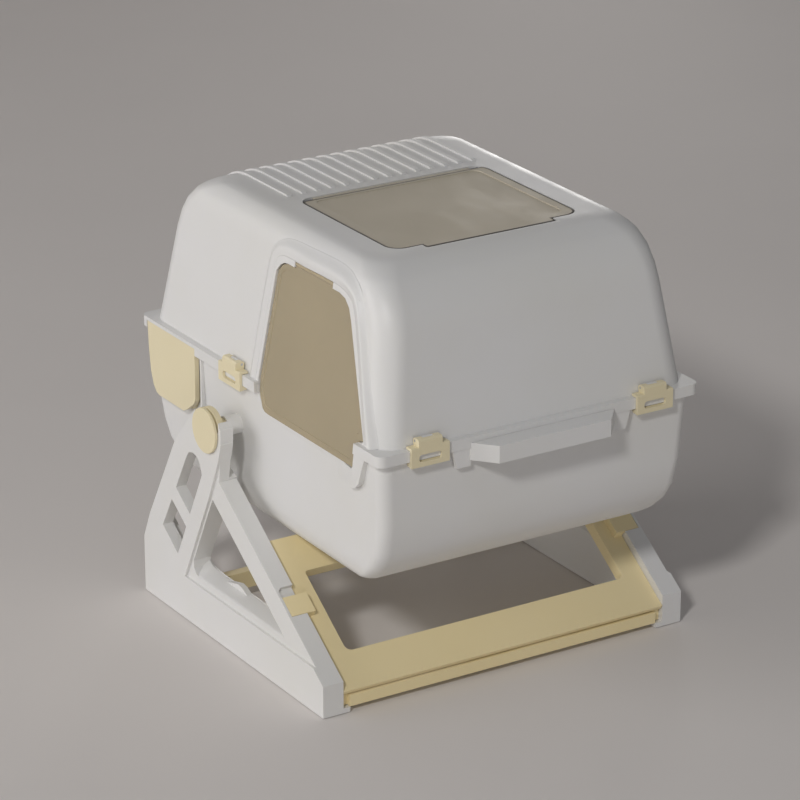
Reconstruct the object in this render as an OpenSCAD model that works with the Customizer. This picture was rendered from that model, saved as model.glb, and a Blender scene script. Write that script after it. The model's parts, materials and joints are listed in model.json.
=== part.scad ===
// Hooded litter box that rolls back on two side stands, with a waste drawer in its left side.
// X runs across the stands, Y from the front to the back, Z up. Z = 0 is the floor.
// Millimetres. The box hangs on its pivot hubs and rests on the top edge of the front frame.

/* [Box] */
// Width over the lip of the hood
lip_w = 435; // [415:1:440]
// Depth over the lip of the hood
lip_d = 548; // [520:1:580]
// Height of the lip
lip_h = 13; // [10:0.5:16]
// Corner radius of the lip in plan
lip_r = 11; // [8:1:20]
// Height of the lip's lower edge over the floor
rim_z = 324.5; // [316:0.5:334]
// Wall of the tub, the hood and the lip
wall = 3; // [2:0.25:4]
// Gap between parts that seat on each other
seat = 0.3; // [0.2:0.05:0.5]

/* [Tub] */
// Depth of the tub below the lip's lower edge
tub_depth = 174.5; // [160:0.5:182]
// Draft of the tub walls, degrees
tub_draft = 3; // [1:0.5:5]
// Radius between the tub's floor and its front and back
tub_end_r = 100; // [70:1:110]
// Radius between the tub's floor and its sides
tub_side_r = 36; // [24:1:44]
// Radius of the tub's upright corners
tub_corner_r = 16; // [10:1:30]

/* [Hood] */
// Height of the hood over the lip
hood_h = 190.5; // [170:0.5:210]
// Ledge between the lip's outside and the hood's wall
hood_ledge = 9; // [8:0.5:11]
// Draft of the hood's sides, degrees
hood_side_draft = 7.6; // [5:0.2:9]
// Draft of the hood's front and back, degrees
hood_end_draft = 9.7; // [7:0.1:12]
// Radius between the hood's top and its sides
hood_side_r = 35; // [28:1:42]
// Radius between the hood's top and its front and back
hood_end_r = 84; // [70:1:92]
// Radius of the hood's upright corners
hood_corner_r = 31; // [24:1:40]
// Number of ribs over the back of the top
rib_count = 14; // [8:1:16]
// Spacing of the ribs
rib_pitch = 19.6; // [14:0.1:20]
// Width of a rib
rib_w = 6; // [3:0.5:8]
// Height of a rib
rib_h = 2.2; // [1:0.1:3]
// Start of the ribs behind the lid
rib_gap = 16; // [10:1:30]

/* [Lid] */
// Width of the lid
lid_w = 252; // [220:1:260]
// Length of the lid
lid_l = 208; // [180:1:215]
// Middle of the lid behind the box's middle
lid_back = -53; // [-58:1:-48]
// Corner radius of the lid
lid_r = 18; // [10:1:24]
// Thickness of the lid
lid_t = 3; // [2:0.25:4]
// Gap around the lid
lid_gap = 1.4; // [1:0.1:2]
// Width of the finger tab
lid_tab_w = 174; // [120:1:180]
// Reach of the finger tab
lid_tab_l = 9; // [5:0.5:12]

/* [Entry] */
// Depth of the opening's sill below the lip
sill_drop = 20.5; // [14:0.5:26]
// Distance of the opening's top below the hood's top
entry_down = 39.5; // [38:0.5:54]
// Back end of the sill
sill_back = 12; // [2:1:16]
// Front end of the sill
sill_front = 204.5; // [196:0.5:206]
// Middle of the hinge slot ahead of the origin
hinge_front = 82; // [76:1:86]
// Length of the hinge slot
hinge_slot_w = 84; // [70:1:90]
// Height of the hinge slot
hinge_slot_h = 10; // [8:0.5:12]
// Thickness of the flap
flap_t = 3; // [2:0.25:4]
// Reach of the flap's border ahead of the hood's face
flap_out = 1; // [0.5:0.1:1.5]
// Gap around the flap
flap_gap = 1.3; // [1:0.1:2]

/* [Drawer] */
// Width of the drawer's front
front_w = 116; // [112:1:120]
// Height of the drawer's front
front_h = 88.5; // [80:0.5:90]
// Thickness of the drawer's front
front_t = 6; // [4:0.5:7]
// Width of the drawer's body
drawer_w = 92; // [80:1:96]
// Height of the drawer's body
drawer_h = 66; // [50:1:68]
// Wall of the drawer
drawer_wall = 2.5; // [2:0.25:4]
// Gap between the drawer and its cradle
drawer_gap = 0.6; // [0.4:0.1:1]

/* [Stand] */
// Width over both stands
stand_w = 500; // [495:1:520]
// Thickness of a stand's foot
stand_t = 27; // [24:1:27]
// Front of the feet, ahead of the origin
stand_front = 194.5; // [180:0.5:210]
// Back of the feet, behind the origin
stand_back = 229; // [220:0.5:245]
// Height of the base bar
base_h = 56; // [48:1:62]
// Upright height of the foot's front
toe_h = 41; // [36:1:48]
// Slope of the front leg, degrees
leg_slope = 34.6; // [33:0.2:36]
// Depth of the recess in the outer face at the front leg
leg_step = 3.5; // [2:0.5:6]
// Width of each rim of the back leg
rim_w = 28; // [22:1:31]
// Thickness of the web that crosses the back leg
web_t = 22; // [14:1:26]

/* [Pivot] */
// Height of the pivot over the floor
pivot_z = 266; // [262:0.5:270]
// Pivot behind the origin
pivot_y = 67; // [60:0.5:72]
// Radius of the cradle head
head_r = 33; // [32:0.5:37]
// Radius of the hub's discs
hub_r = 27.5; // [24:0.5:28]
// Radius of the hub's bearing shaft
shaft_r = 10; // [8:0.5:11]
// Radial running gap of the shaft in the cradle
bearing_gap = 0.05; // [0.02:0.01:0.1]
// Thickness of the hub's cap
cap_t = 4; // [3:0.25:5]

/* [Latches] */
// Width of a latch
latch_w = 50; // [40:1:56]
// Thickness of a latch
latch_t = 3.2; // [2.5:0.1:3.6]
// Distance of the front and back latches from the middle
latch_x = 152; // [140:1:160]
// Radius of a latch's pin
latch_pin_r = 1.5; // [1:0.1:1.8]

/* [Handle] */
// Length of the grip bar
grip_w = 151; // [130:1:165]
// Reach of the grip ahead of the lip
grip_out = 25.5; // [20:0.5:30]
// Height of the grip bar
grip_h = 21; // [16:0.5:24]

/* [Frame] */
// Width of the front frame's side bars
frame_side = 29; // [22:1:34]
// Width of the front frame's top and bottom bars
frame_bar = 50; // [40:1:54]
// Depth of the front frame
frame_t = 16; // [12:0.5:20]
// Depth of the frame's face behind the legs' face
frame_back = 10; // [6:0.5:12]

/* [Hidden] */
$fn = 48;

e = 0.5;                                    // overrun of a cut
corner_fn = 32;                             // facets of a lofted corner
latch_out = seat + latch_t;                 // reach of a latch over the lip
box_y = (grip_out - latch_out) / 2;         // middle of the box, so that the whole part is centred
half_w = lip_w / 2;
half_d = lip_d / 2;
lip_z = rim_z + lip_h;                      // top of the lip
rim_top = lip_z - wall - seat;              // top of the tub's rim
tub_z = rim_z - tub_depth;                  // underside of the tub
top_z = lip_z + hood_h;                     // top of the hood
sill_z = rim_z - sill_drop;                 // height of the entry's sill
entry_top_z = top_z - entry_down;           // height of the entry's top
rim_out = wall + seat;                      // tub rim's distance inside the lip's face
tub_in = 6.5;                               // tub wall's distance inside the lip's face
stand_x = stand_w / 2;                      // outer face of a stand
inner_x = stand_x - stand_t;                // inner face of a stand's foot
head_t = stand_t - 10;                      // thickness of the cradle head

// ---------- helpers ----------

// Flat rounded rectangle of half sizes hx and hy
module plate(hx, hy, r, t, z, fn = corner_fn) {
    translate([0, box_y, z])
        linear_extrude(t)
            for (sx = [-1, 1])
                for (sy = [-1, 1])
                    translate([sx * (hx - r), sy * (hy - r)])
                        circle(r, $fn = fn);
}

// Rounded rectangle in 2D from [x0, y0] to [x1, y1]
module round_rect(x0, y0, x1, y1, r) {
    square_at(x0 + r, y0, x1 - r, y1);
    square_at(x0, y0 + r, x1, y1 - r);
    for (x = [x0 + r, x1 - r])
        for (y = [y0 + r, y1 - r])
            translate([x, y])
                circle(r);
}

module square_at(x0, y0, x1, y1) {
    translate([x0, y0])
        square([x1 - x0, y1 - y0]);
}

// Stretches a YZ outline along X from x0 to x1
module along_x(x0, x1) {
    translate([x0, 0, 0])
        rotate([90, 0, 90])
            linear_extrude(x1 - x0)
                children();
}

// Stretches an XZ outline along Y from y0 to y1
module along_y(y0, y1) {
    translate([0, y1, 0])
        rotate([90, 0, 0])
            linear_extrude(y1 - y0)
                children();
}

// Crossing point of a line through p at angle a and a line through q at angle b
function cross_at(p, a, q, b) =
    let (d = cos(a) * sin(b) - sin(a) * cos(b))
    let (s = ((q[0] - p[0]) * sin(b) - (q[1] - p[1]) * cos(b)) / d)
    [p[0] + s * cos(a), p[1] + s * sin(a)];

// Point p moved by s square to a line at angle a, to its left
function beside(p, a, s) = [p[0] - s * sin(a), p[1] + s * cos(a)];

// Inset of a drafted wall with a rounded end, at height h of a shell that is height tall
function centre_in(height, r, draft) = (height - r) * tan(draft) + r / cos(draft);
function wall_in(h, height, r, draft) =
    h <= height - r + r * sin(draft) ? h * tan(draft)
    : centre_in(height, r, draft) - sqrt(max(0, r * r - pow(h - height + r, 2)));

// Heights at which a shell with two end radii is lofted
function loft_heights(height, r1, r2, draft) =
    concat([0], [for (a = [draft, 24, 38, 52, 66, 78]) height - r1 + r1 * sin(a)],
           [for (a = [40, 64]) height - r2 + r2 * sin(a)], [height]);

// Half width of the tub's outside at height z
function tub_half(z) = half_w - tub_in - wall_in(rim_top - z, rim_top - tub_z, tub_side_r, tub_draft);

// Solid of the hood's outside, moved inward by t
module hood_solid(t) {
    hull()
        for (h = loft_heights(hood_h, hood_end_r, hood_side_r, hood_end_draft))
            plate(half_w - hood_ledge - wall_in(h, hood_h, hood_side_r, hood_side_draft) - t,
                  half_d - hood_ledge - wall_in(h, hood_h, hood_end_r, hood_end_draft) - t,
                  hood_corner_r - t, 0.01, lip_z + h - (h > 0 ? t : 0.01));
}

// Solid of the tub's outside below its rim, moved inward by t
module tub_solid(t, over = 0) {
    full = rim_top - tub_z;
    translate([0, 0, rim_top])
        mirror([0, 0, 1])
            hull()
                for (h = concat([-over], loft_heights(full, tub_end_r, tub_side_r, tub_draft)))
                    plate(half_w - tub_in - wall_in(h, full, tub_side_r, tub_draft) - t,
                          half_d - tub_in - wall_in(h, full, tub_end_r, tub_draft) - t,
                          tub_corner_r - t, 0.01, h - (h > 0 ? t + 0.01 : 0));
}

// ---------- stand ----------

toe = [-stand_front, toe_h];                // top of the foot's front face
neck = [pivot_y - 25, pivot_z - 34];        // where the front leg's outer face meets the head
heel_h = 73;                                // upright height of the foot's back
heel_top = [stand_back - 16, 108];          // where the back leg starts
shoulder = [pivot_y + 78, pivot_z - 39];    // where the back leg meets the head's flank
back_slope = atan2(shoulder[1] - heel_top[1], shoulder[0] - heel_top[0]);
sill_h = base_h + 9;                        // lower edge of the large triangle
crotch = [pivot_y - 5, pivot_z - 87];       // top of the large triangle
inner_slope = 117;                          // slope of the back leg's inner edge, degrees
arm_h = 12;                                 // reach of the cradle's arms over the pivot
arm_r = 3;                                  // radius of the arms' tips

// Outline of the head and its arms
module head_2d() {
    translate([pivot_y, pivot_z]) {
        circle(head_r);
        square_at(-head_r, -2, head_r, arm_h - arm_r);
        for (side = [-1, 1])
            translate([side * (head_r - arm_r), arm_h - arm_r])
                circle(arm_r);
    }
}

// Outline of the whole stand in the YZ plane
module stand_2d() {
    head_2d();
    polygon([
        [-stand_front, 1],
        toe,
        cross_at(toe, leg_slope, neck, 98),
        neck,
        [pivot_y - 29, pivot_z - 23],
        [pivot_y - head_r, pivot_z - 8],
        [pivot_y, pivot_z],
        beside([pivot_y, pivot_z], back_slope, -head_r),
        shoulder,
        heel_top,
        [stand_back, heel_h],
        [stand_back, 1],
    ]);
}

// Large opening between the legs
module triangle_2d() {
    r = 10;
    low_back = cross_at(crotch, inner_slope, [0, sill_h], 0);
    low_front = cross_at(crotch, leg_slope, [0, sill_h], 0);
    difference() {
        polygon([crotch, low_back, low_front]);
        polygon([
            low_back + [0.1, -0.1],
            low_back - [2 * r, 0.1],
            low_back + [-1.45 * r, 0.25 * r],
            low_back + [-0.95 * r, 0.85 * r],
            low_back + 2 * r * [cos(inner_slope), sin(inner_slope)] + [0.1, 0],
        ]);
    }
}

out_p = beside(shoulder, back_slope, rim_w + 2);
in_p = beside(crotch, inner_slope, -rim_w);
web_mid = cross_at(out_p, back_slope, [0, 52.5], leg_slope);
web_up = beside(web_mid, leg_slope, web_t / 2);
web_low = beside(web_mid, leg_slope, -web_t / 2);
low_end = beside(web_low, leg_slope, -48);
pocket_t = 13;                              // depth of the pocket behind the openings
pocket_rim = 6;                             // width of the leg's edge beside the pocket

// The two openings in the back leg
module truss_2d() {
    polygon([
        cross_at(out_p, back_slope, web_up, leg_slope),
        cross_at(in_p, inner_slope, web_up, leg_slope),
        cross_at(in_p, inner_slope, [0, pivot_z - 62], 0),
        [pivot_y + 18, pivot_z - 49],
        [pivot_y + 24, pivot_z - 42.5],
        [pivot_y + 34, pivot_z - 40.5],
        [pivot_y + 44, pivot_z - 43],
        cross_at(out_p, back_slope, [0, pivot_z - 50], 0),
    ]);
    polygon([
        cross_at(out_p, back_slope, web_low, leg_slope),
        cross_at(in_p, inner_slope, web_low, leg_slope),
        cross_at(in_p, inner_slope, low_end, leg_slope),
        cross_at(out_p, back_slope, low_end, leg_slope),
    ]);
}

// Pocket in the inner face around both openings
module pocket_2d() {
    edge_p = beside(shoulder, back_slope, pocket_rim);
    end_p = beside(low_end, leg_slope, -14);
    polygon([
        cross_at(edge_p, back_slope, [0, pivot_z - 52], 0),
        cross_at(in_p, inner_slope, [0, pivot_z - 52], 0),
        cross_at(in_p, inner_slope, end_p, leg_slope),
        cross_at(edge_p, back_slope, end_p, leg_slope),
    ]);
}

// Zone of the outer face that lies back from the rest
module recess_2d() {
    polygon([
        neck - [6, 0],
        neck,
        crotch + [3.5, 0],
        cross_at(crotch + [3.5, 0], inner_slope, [0, base_h], 0),
        [-stand_front + 9, base_h],
        [-stand_front + 3, base_h - 5],
        [-stand_front - 1, base_h - 16],
        [-stand_front - 1, base_h + 60],
        neck - [80, 40],
        neck - [20, -4],
    ]);
}

slot_len = 27;                              // frame tab's length along the leg
slot_from = 97;                             // frame tab's distance up the leg from the toe
tab_in = 20;                                // frame tab's reach over the leg
tab_t = 5;                                  // frame tab's thickness
notch_up = 13;                              // notch's length beyond the frame tab
notch_r = 6;                                // radius of the notch's upper corner
pad_r = 9;                                  // radius of a foot pad
pad_in = 20;                                // foot pad's middle inside the foot's end

// Places its children on the legs' front face: X across, Y up the slope, Z out of the face
module on_slope() {
    translate([0, toe[0], toe[1]])
        rotate([leg_slope, 0, 0])
            children();
}

// Right stand. The left one is its mirror image.
module stand_side() {
    difference() {
        union() {
            difference() {
                along_x(inner_x, stand_x) stand_2d();
                along_x(inner_x - 1, stand_x + 1) triangle_2d();
                along_x(inner_x - 1, stand_x + 1) truss_2d();
                along_x(inner_x - 1, inner_x + pocket_t) pocket_2d();
                along_x(stand_x - leg_step, stand_x + 1) recess_2d();
            }
            // lug on the base bar and ledge at the toe
            along_x(inner_x, inner_x + 7)
                polygon([[63, sill_h - 4], [61, sill_h + 5], [33, sill_h + 12], [24, sill_h + 10.5],
                         [2, sill_h + 1], [-4, sill_h - 4]]);
            along_x(inner_x - 9, inner_x + e)
                polygon([[-stand_front, 1], [-stand_front, 7], [-stand_front + 34, 7],
                         [-stand_front + 40, 1]]);
        }
        // the head's inner face lies back
        along_x(inner_x - 1, stand_x - head_t)
            polygon([
                cross_at(toe, leg_slope, neck, 98) + [-5, 1],
                [pivot_y + 4, pivot_z - 46],
                [pivot_y + 50, pivot_z - 40],
                [pivot_y + 50, pivot_z + 30],
                [pivot_y - 50, pivot_z + 30],
                [pivot_y - 50, pivot_z - 30],
            ]);
        cradle_cut();
        on_slope()
            translate([0, 0, -tab_t - seat])
                linear_extrude(40)
                    notch_2d();
        for (y = [-stand_front + pad_in, stand_back - pad_in])
            translate([stand_x - stand_t / 2, y, -1])
                cylinder(r = pad_r + seat, h = 4);
    }
}

// Notch in the leg for the frame's tab, in the plane of the slope
module notch_2d() {
    x1 = inner_x + tab_in + seat;
    y1 = slot_from + slot_len + notch_up;
    square_at(inner_x - 1, slot_from - seat, x1, y1 - notch_r);
    square_at(inner_x - 1, y1 - notch_r - 1, x1 - notch_r, y1);
    translate([x1 - notch_r, y1 - notch_r])
        circle(notch_r);
}

disc_t = 8;                                 // thickness of the hub's second disc
groove_t = 1.5;                             // web of the head in the hub's groove
groove_r = 15;                              // radius of the hub in its groove
side_gap = 0.25;                            // sideways play of the hub

// Space in the head for the hub: groove web, pocket for the second disc and bearing
module cradle_cut() {
    // between its arms the head is open to both sides
    translate([inner_x - 1, pivot_y - hub_r - seat, pivot_z + 5])
        cube([stand_t + 2, 2 * (hub_r + seat), 2 * head_r]);
    u_slot(groove_r + bearing_gap, stand_x - groove_t - e, stand_x + 1);
    u_slot(hub_r + seat, stand_x - groove_t - disc_t - 2 * side_gap, stand_x - groove_t);
    u_slot(shaft_r + bearing_gap, inner_x - 1, stand_x - groove_t - disc_t);
}

// Slot with a round bottom on the pivot and an open top
module u_slot(r, x0, x1) {
    translate([x0, pivot_y, pivot_z])
        rotate([0, 90, 0])
            cylinder(r = r, h = x1 - x0, $fn = 96);
    translate([x0, pivot_y - r, pivot_z])
        cube([x1 - x0, 2 * r, head_r + 40]);
}

module foot_pad(side, y) {
    color("dimgray")
        translate([side * (stand_x - stand_t / 2), y, 0])
            cylinder(r = pad_r, h = 3 - seat);
}

frame_low = 8;                              // frame's lower edge, down the slope from the toe
frame_x = inner_x - seat;                   // half width of the frame
frame_skin = 4;                             // skin of the frame's panel
// the frame's top edge stays just under the tub's floor
frame_up = (tub_z - seat - toe[1] + frame_back * cos(leg_slope)) / sin(leg_slope);

// Frame outline in the plane of the slope
module frame_2d(t) {
    difference() {
        square_at(-frame_x + t, -frame_low + t, frame_x - t, frame_up - t);
        window_2d(frame_x - frame_side + t, -frame_low + frame_bar - t,
                  frame_up - frame_bar + t, t);
    }
}

// Window of the frame, with rounder corners at its lower edge
module window_2d(x, y0, y1, grow) {
    round_rect(-x, y0, x, y1, 8 + grow);
    round_rect(-x, y0 + 30, x, y1, 4 + grow);
}

module stand_front_frame() {
    color("khaki")
        difference() {
            on_slope() {
                difference() {
                    translate([0, 0, -frame_back - frame_t])
                        linear_extrude(frame_t)
                            frame_2d(0);
                    translate([0, 0, -frame_back - frame_t - 1])
                        linear_extrude(frame_t - frame_skin + 1)
                            frame_2d(3);
                }
                for (side = [-1, 1])
                    tab(side);
            }
            // level lower edge over the floor rail
            translate([-stand_x, -stand_front - 20, 0])
                cube([stand_w, 60, rail_z + rail_h + 2]);
        }
}

// Side tab of the frame, let into the front leg
module tab(side) {
    scale_x = side * (inner_x + tab_in);
    translate([side > 0 ? frame_x - 12 : scale_x, slot_from, -tab_t])
        cube([tab_in + seat + 12, slot_len, tab_t]);
    translate([side > 0 ? frame_x - 12 : -frame_x, slot_from, -frame_back - 2])
        cube([12, slot_len, frame_back + 2]);
}

rail_h = 14;                                // height of the floor rail
rail_t = 12;                                // depth of the floor rail
rail_z = 7;                                 // floor rail over the floor

module stand_floor_rail() {
    color("khaki") {
        difference() {
            translate([-inner_x + 9 + seat, -stand_front + 1, rail_z])
                cube([2 * (inner_x - 9 - seat), rail_t, rail_h]);
            translate([-inner_x + 20, -stand_front + 4, rail_z + 3])
                cube([2 * (inner_x - 20), rail_t, rail_h - 6]);
        }
        // end posts up to the stands
        for (side = [-1, 1])
            translate([side * (inner_x - 5.5) - (side > 0 ? 5.5 - seat + e : 5.5 - seat),
                       -stand_front + 7, rail_z + seat + 0.2])
                cube([11 - 2 * seat + e, rail_t - 6, rail_h - 1]);
    }
}

bar_in = 82;                                // rear bar's middle inside the feet's back
bar_y = stand_back - bar_in;                // rear bar's middle
bar_z = 14;                                 // rear bar over the floor
bar_h = 22;                                 // height of the rear bar
bar_t = 14;                                 // depth of the rear bar
bar_skin = 3;                               // wall of the rear bar
bar_end = 12;                               // solid end of the rear bar

module stand_rear_bar() {
    color("khaki")
        difference() {
            translate([-frame_x, bar_y - bar_t / 2, bar_z])
                cube([2 * frame_x, bar_t, bar_h]);
            translate([-frame_x + bar_end, bar_y - bar_t / 2 + bar_skin, bar_z - 1])
                cube([2 * (frame_x - bar_end), bar_t - 2 * bar_skin, bar_h - bar_skin + 1]);
        }
}

// ---------- hubs ----------

boss_t = 19;                                // height of the boss under a hub
boss_r = shaft_r + 2;                       // radius of the boss
screw_r = 3;                                // radius of a hub screw
screw_head = 3;                             // thickness of a screw's head
screw_in = 11;                              // screw's reach into the hub
side_at_pivot = tub_half(pivot_z);
boss_x = side_at_pivot + boss_t;            // face of the boss

// Right hub, on the pivot axis
module hub() {
    disc_x = stand_x - groove_t - side_gap - disc_t;
    translate([0, pivot_y, pivot_z])
        rotate([0, 90, 0])
            difference() {
                union() {
                    translate([0, 0, stand_x + side_gap])
                        cylinder(r = hub_r, h = cap_t, $fn = 96);
                    translate([0, 0, disc_x])
                        cylinder(r = groove_r, h = groove_t + disc_t + 2 * side_gap + e, $fn = 96);
                    translate([0, 0, disc_x])
                        cylinder(r = hub_r, h = disc_t, $fn = 96);
                    translate([0, 0, boss_x + seat])
                        cylinder(r = shaft_r, h = disc_x - boss_x - seat + e, $fn = 96);
                }
                translate([0, 0, boss_x - 1])
                    cylinder(r = screw_r + seat, h = screw_in + 3, $fn = 32);
            }
}

// Screw from inside the tub into the right hub
module hub_screw() {
    // the head's rim clears the leaning wall
    head_gap = seat + 2 * screw_r * tan(tub_draft);
    translate([side_at_pivot - wall - head_gap - screw_head, pivot_y, pivot_z])
        rotate([0, 90, 0]) {
            cylinder(r = 2 * screw_r, h = screw_head, $fn = 32);
            cylinder(r = screw_r, h = screw_head + head_gap + wall + boss_t + seat + screw_in, $fn = 32);
        }
}

// ---------- drawer and sieve ----------

front_back_y = box_y + half_d - 16;         // back edge of the drawer's front
front_y0 = front_back_y - front_w;          // front edge of the drawer's front
front_z1 = rim_z + 8.5;                     // top of the drawer's front
front_z0 = front_z1 - front_h;              // bottom of the drawer's front
body_y0 = front_y0 + 6;                     // front of the drawer's body
body_y1 = body_y0 + drawer_w;               // back of the drawer's body
body_z0 = front_z0 + 6;                     // underside of the drawer's body
body_z1 = body_z0 + drawer_h;               // top of the drawer's body
front_x = half_w - 0.5;                     // outer face of the drawer's front
cradle_t = 2.5;                             // wall of the cradle
cradle_z = body_z0 - drawer_gap - cradle_t; // underside of the cradle
cradle_gap = 2.2;                           // gap between the cradle and the tub's side walls
cradle_x = tub_half(cradle_z) - wall - cradle_gap;
body_x1 = cradle_x - 4;                     // closed end of the drawer's body

module front_2d() {
    polygon([
        [front_y0, front_z1],
        [front_y0, front_z0 + 24],
        [front_y0 + 4, front_z0 + 17],
        [front_y0 + 22, front_z0 + 4],
        [front_y0 + 30, front_z0],
        [front_back_y - 26, front_z0],
        [front_back_y - 19, front_z0 + 2],
        [front_back_y - 12, front_z0 + 10],
        [front_back_y - 6, front_z0 + 26],
        [front_back_y - 2, front_z0 + 55],
        [front_back_y, front_z1],
    ]);
}

module body_2d(t) {
    polygon([
        [body_y0 + t, body_z1 + (t > 0 ? 1 : 0)],
        [body_y0 + t, body_z0 + 15],
        [body_y0 + 10 + t * 0.6, body_z0 + t],
        [body_y1 - 8 - t * 0.6, body_z0 + t],
        [body_y1 - t, body_z0 + 13],
        [body_y1 - t, body_z1 + (t > 0 ? 1 : 0)],
    ]);
}

module waste_drawer() {
    color("khaki") {
        difference() {
            along_x(-front_x + front_t - e, body_x1) body_2d(0);
            along_x(-front_x + front_t + 2, body_x1 - drawer_wall) body_2d(drawer_wall);
        }
        along_x(-front_x, -front_x + front_t) front_2d();
    }
}

module drawer_cradle() {
    g = drawer_gap;
    z0 = cradle_z;
    color("whitesmoke")
        difference() {
            along_x(-cradle_x, cradle_x)
                polygon([
                    [body_y0 - g - cradle_t, body_z1 + 2],
                    [body_y0 - g - cradle_t, z0],
                    [body_y1 + g + cradle_t, z0],
                    [body_y1 + g + cradle_t, body_z1 + 2],
                    [body_y1 + g, body_z1 + 2],
                    [body_y1 + g, body_z0 - g],
                    [body_y0 - g, body_z0 - g],
                    [body_y0 - g, body_z1 + 2],
                ]);
            // drain slots in the floor
            for (i = [-3:3])
                translate([i * 52 - 16, body_y0 + 26, z0 - 1])
                    cube([32, drawer_w - 50, cradle_t + 2]);
        }
}

grille_w = 372;                             // width of the sieve
grille_h = 132;                             // height of the sieve along its slope
grille_t = 4;                               // thickness of the sieve
grille_lean = 18;                           // forward lean of the sieve, degrees
grille_bar = 4;                             // width of one bar
grille_step = 12.6;                         // spacing of the bars

module sieve_grille() {
    color("gainsboro")
        translate([0, body_y1 + drawer_gap + cradle_t / 2 + grille_t / 2,
                   body_z1 + 2 + seat + grille_t * sin(grille_lean)])
            rotate([90 + grille_lean, 0, 0])
                linear_extrude(grille_t)
                    difference() {
                        square_at(-grille_w / 2, 0, grille_w / 2, grille_h);
                        for (x = [-grille_w / 2 + 12:grille_step:grille_w / 2 - 20])
                            for (y = [[10, grille_h / 2 - 4], [grille_h / 2 + 4, grille_h - 10]])
                                square_at(x, y[0], x + grille_step - grille_bar, y[1]);
                    }
}

// ---------- tub ----------

// Outline of the entry in the YZ plane, over both shells, from its back down and round
ENTRY = [
    [sill_back, lip_z + 4],
    [sill_back - 2, rim_z + 1],
    [sill_back - 6, sill_z + 14],
    [sill_back - 12, sill_z + 4],
    [sill_back - 18, sill_z + 0.7],
    [sill_back - 26, sill_z],
    [-sill_front + 3, sill_z],
    [-sill_front, sill_z + 3],
    [-sill_front - 5, lip_z],
    [-sill_front - 13, lip_z + 1],
    [-sill_front - 15, lip_z + 4],
    [-sill_front + 36.5, entry_top_z - 23],
    [-sill_front + 43, entry_top_z - 11],
    [-sill_front + 53, entry_top_z - 3],
    [-sill_front + 66, entry_top_z],
    [sill_back - 38, entry_top_z],
    [sill_back - 30, entry_top_z - 1.2],
    [sill_back - 22, entry_top_z - 5.5],
    [sill_back - 14.5, entry_top_z - 14.5],
    [sill_back - 13, entry_top_z - 28],
];

// Square to the line from p to q, towards the inside of an outline
function inward(p, q) = [q[1] - p[1], p[0] - q[0]] / norm(q - p);

// Outline moved inward by d, or outward where d is negative
function inset(line, d) =
    let (n = len(line))
    [for (i = [0:n - 1])
        let (a = inward(line[(i + n - 1) % n], line[i]), b = inward(line[i], line[(i + 1) % n]))
        line[i] + d * (a + b) / (1 + a * b)];

bead_w = 4.5;                               // width of the bead around the notch
bead_t = 2.2;                               // reach of the bead over the tub's wall
bead_top = lip_z + 3;                       // height at which the bead's outline ends
strip_out = half_w - 1.5;                   // outer face of the strip ahead of the notch
strip_y = [-165, -203, -230];               // strip's start, full reach and front end

// Bead that frames the notch in the tub's left wall
module bead_2d() {
    difference() {
        polygon(inset(ENTRY, -bead_w));
        polygon(ENTRY);
        square_at(-half_d, bead_top, half_d, top_z + bead_w + 1);
    }
}

// Strip below the lip that widens the wall towards the notch's front end
module strip() {
    intersection() {
        along_x(-strip_out, -tub_half(sill_z) + 2)
            difference() {
                polygon([
                    [strip_y[0], sill_z - 23],
                    [strip_y[1], sill_z - 23],
                    [strip_y[1] - 8, sill_z - 19.5],
                    [strip_y[1] - 14, sill_z - 13],
                    [strip_y[1] - 17, sill_z - 5],
                    [strip_y[1] - 20, sill_z + 4],
                    [strip_y[2], rim_z - seat],
                    [strip_y[0], rim_z - seat],
                ]);
                polygon(ENTRY);
            }
        linear_extrude(top_z)
            polygon([
                [-tub_half(sill_z), strip_y[0]],
                [-strip_out, strip_y[1]],
                [-strip_out, strip_y[2]],
                [-strip_out + 20, strip_y[2]],
                [-strip_out + 20, strip_y[0]],
            ]);
    }
}

module tub() {
    color("whitesmoke")
        difference() {
            union() {
                difference() {
                    union() {
                        tub_solid(0);
                        hull()
                            plate(half_w - rim_out, half_d - rim_out, lip_r - rim_out,
                                  rim_top - rim_z, rim_z);
                    }
                    tub_solid(wall, 1);
                }
                for (side = [-1, 1])
                    translate([side * (side_at_pivot - 1), pivot_y, pivot_z])
                        rotate([0, side * 90, 0])
                            cylinder(r = boss_r, h = boss_t + 1, $fn = 64);
                // bead and strip at the notch and a rib beside the drawer, outside the wall
                difference() {
                    union() {
                        intersection() {
                            along_x(-tub_half(sill_z) - bead_t, -side_at_pivot + 2) bead_2d();
                            along_x(-half_w, 0) square_at(-half_d, 0, half_d, rim_top);
                        }
                        strip();
                        translate([-half_w + rim_out + 1, front_y0 - 9, rim_z - 66])
                            cube([8, 3, 68]);
                    }
                    tub_solid(wall / 2, 1);
                }
            }
            along_x(-half_w - 1, -half_w + 20) polygon(ENTRY);
            along_x(-half_w - 1, -cradle_x + 8) drawer_hole_2d();
            for (side = [-1, 1])
                translate([side * (side_at_pivot - 10), pivot_y, pivot_z])
                    rotate([0, side * 90, 0])
                        cylinder(r = screw_r + seat, h = boss_t + 12, $fn = 32);
            // the wall and rim make room for the drawer's front
            along_x(-half_w, -front_x + front_t + seat)
                square_at(front_y0 - seat, front_z0 - seat, front_back_y + 1, rim_top + 1);
        }
}

module drawer_hole_2d() {
    g = drawer_gap;
    polygon([
        [body_y0 - g, body_z1 + g],
        [body_y0 - g, body_z0 + 15 - g],
        [body_y0 + 10 - g, body_z0 - g],
        [body_y1 - 8 + g, body_z0 - g],
        [body_y1 + g, body_z0 + 13 - g],
        [body_y1 + g, body_z1 + g],
    ]);
}

// ---------- hood ----------

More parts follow.
